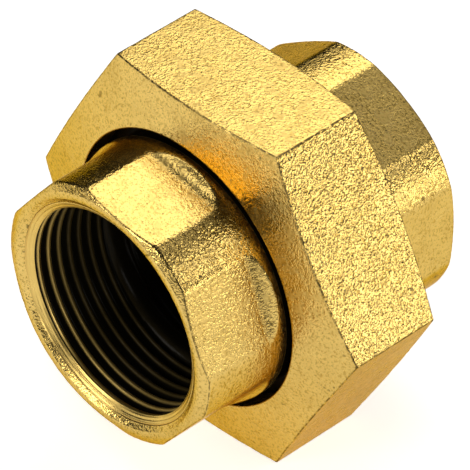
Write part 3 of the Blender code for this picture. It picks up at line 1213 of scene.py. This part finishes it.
    def build(self) -> bpy.types.Object:
        """Makes the nut."""
        material = self.finish.build()
        hole_y = self.face_at(self.hole, -1.0)
        mouth_y = self.face_at(self.mouth, 1.0)
        thread_start = self.relief_end + self.relief - self.root
        thread_end = mouth_y - (self.mouth - self.root)
        thread = Thread(
            thread_start, thread_end, self.root, self.root, self.crest, self.root, Edge.INSIDE,
            self.segments, self.thread_rows,
        )
        lip = turned_rows(self.segments, [
            (self.root, thread_start), (self.relief, self.relief_end), (self.relief, self.lip),
            (self.hole, self.lip), (self.hole, hole_y + self.hole_chamfer),
            (self.hole + self.hole_round, hole_y + self.hole_round),
        ], self.lip_step)
        outline = [(self.mouth, mouth_y + self.mouth_round[1]), (self.root, thread_end)]
        mouth = turned_rows(self.segments, outline, self.mouth_step)
        base = shell("nut_shell", [self.outside_rows(), mouth, [], lip])
        thread.tree("nut_thread", material).use_on(base)
        self.skin.tree("nut_skin", material).use_on(base)
        return self.dress(bake(base, "union_nut_brass_hexagon"))


@dataclass
class Gasket(Piece):
    """The flat rubber sealing ring, with rounded edges."""

    node: str = "gasket"
    slot: str = "gasket_rubber"
    finish: Rubber = Rubber("gasket_sheet_rubber")
    inner: float = 20.976 * MM
    outer: float = 27.50 * MM
    near: float = -2.562 * MM
    far: float = -0.562 * MM
    round_off: float = 0.25 * MM
    segments: int = 192
    arc_rows: int = 4
    step: float = 0.6 * MM

    def build(self) -> bpy.types.Object:
        """Makes the gasket."""
        corners = [
            (self.inner, self.near), (self.outer, self.near),
            (self.outer, self.far), (self.inner, self.far),
        ]
        outline: list[Pair] = []
        for k, corner in enumerate(corners):
            after = corners[(k + 1) % len(corners)]
            outline += rounded(corner, corners[k - 1], after, self.round_off, self.arc_rows)
        base = shell("gasket_shell", [turned_rows(self.segments, outline, self.step)])
        base.data.materials.append(self.finish.build())
        base.data.shade_smooth()
        return self.dress(bake(base, "gasket_rubber_ring"))


# ---------------------------------------------------------------- studio


@dataclass(frozen=True)
class SoftLight:
    """A rectangular soft light that faces the part."""

    name: str
    azimuth: float
    elevation: float
    power: float
    width: float
    height: float
    distance: float = 0.6

    def build(self) -> None:
        """Makes the light."""
        data = bpy.data.lights.new(self.name, "AREA")
        data.shape = "RECTANGLE"
        data.size, data.size_y = self.width, self.height
        data.energy = self.power
        light = new_object(self.name, data)
        back = direction(self.azimuth, self.elevation)
        light.location = back * self.distance
        light.rotation_mode = "QUATERNION"
        light.rotation_quaternion = (-back).to_track_quat("-Z", "Y")


def direction(azimuth: float, elevation: float) -> Vector:
    """The direction in which a viewer stands, from angles in degrees."""
    a, e = math.radians(azimuth), math.radians(elevation)
    return Vector((math.sin(a) * math.cos(e), -math.cos(a) * math.cos(e), math.sin(e)))


@dataclass
class Studio:
    """Pale floor, soft lights and the camera, which looks at aim from aside and above it."""

    azimuth: float = 46.80
    elevation: float = 39.52
    roll: float = math.radians(0.34)
    distance: float = 0.9353
    lens: float = 423.4
    aim: tuple[float, float, float] = (0.0, -8.55 * MM, 0.0)
    aside: float = 6.38 * MM
    above: float = 4.26 * MM
    floor_level: float = -33.504 * MM
    near: float = 0.05
    far: float = 10.0
    floor_half: float = 0.45
    floor_colour: Colour = (0.92, 0.92, 0.91)
    floor_roughness: float = 0.9
    floor_glow: float = 0.58
    sky: float = 0.02
    white: Colour = (1.0, 1.0, 1.0)
    lights: tuple[SoftLight, ...] = (
        SoftLight("left_rear_softbox", 213.0, 52.0, 1.08, 0.34, 0.34),
        SoftLight("rear_strip", 170.0, 50.0, 0.18, 0.30, 0.30),
        SoftLight("right_rear_softbox", 125.0, 38.0, 0.40, 0.20, 0.16),
        SoftLight("right_rear_low", 122.0, 7.0, 0.53, 0.32, 0.07),
        SoftLight("right_front_wash", 60.0, 25.0, 1.18, 0.30, 0.25),
        SoftLight("front_wash", -20.0, 20.0, 1.2, 0.30, 0.20),
        SoftLight("left_front_high", -55.0, 58.0, 0.50, 0.25, 0.25),
    )

    def build(self) -> None:
        """Makes the studio."""
        self.make_camera()
        self.make_floor()
        for light in self.lights:
            light.build()
        world = bpy.data.worlds.new("studio")
        world.use_nodes = True
        background = world.node_tree.nodes["Background"]
        background.inputs["Color"].default_value = (*self.white, 1.0)
        background.inputs["Strength"].default_value = self.sky
        bpy.context.scene.world = world
        bpy.context.scene.view_settings.view_transform = "Standard"

    def make_camera(self) -> None:
        """Makes the camera and centres the part in its frame."""
        data = bpy.data.cameras.new("camera")
        data.lens = self.lens
        data.clip_start, data.clip_end = self.near, self.far
        camera = new_object("camera", data)
        back = direction(self.azimuth, self.elevation)
        a = math.radians(self.azimuth)
        right = Vector((math.cos(a), math.sin(a), 0.0))
        up = back.cross(right)
        centre = Vector(self.aim) + right * self.aside + up * self.above
        axes = Matrix((right, up, back)).transposed() @ Matrix.Rotation(-self.roll, 3, "Z")
        camera.matrix_world = Matrix.Translation(centre + back * self.distance) @ axes.to_4x4()
        bpy.context.scene.camera = camera

    def make_floor(self) -> None:
        """Makes the pale floor that the nut's lowest flat lies on."""
        mesh = bpy.data.meshes.new("floor")
        h, z = self.floor_half, self.floor_level
        mesh.from_pydata([(-h, -h, z), (h, -h, z), (h, h, z), (-h, h, z)], [], [(0, 1, 2, 3)])
        paper = Finish("floor_paper")
        paper.look(
            Base_Color=(*self.floor_colour, 1.0), Roughness=self.floor_roughness,
            Emission_Color=(*self.white, 1.0), Emission_Strength=self.floor_glow,
        )
        mesh.materials.append(paper.material)
        new_object("floor", mesh)


def main() -> None:
    """Builds the four pieces and the studio."""
    logging.basicConfig(level=logging.INFO, format="%(name)s: %(message)s")
    for piece in (Body(), Gasket(), UnionNut(), Tailpiece()):
        thing = piece.build()
        triangles = sum(len(face.vertices) - 2 for face in thing.data.polygons)
        LOG.info("%s: %d triangles on %s", thing.name, triangles, piece.node)
    Studio().build()


if __name__ == "__main__":
    main()
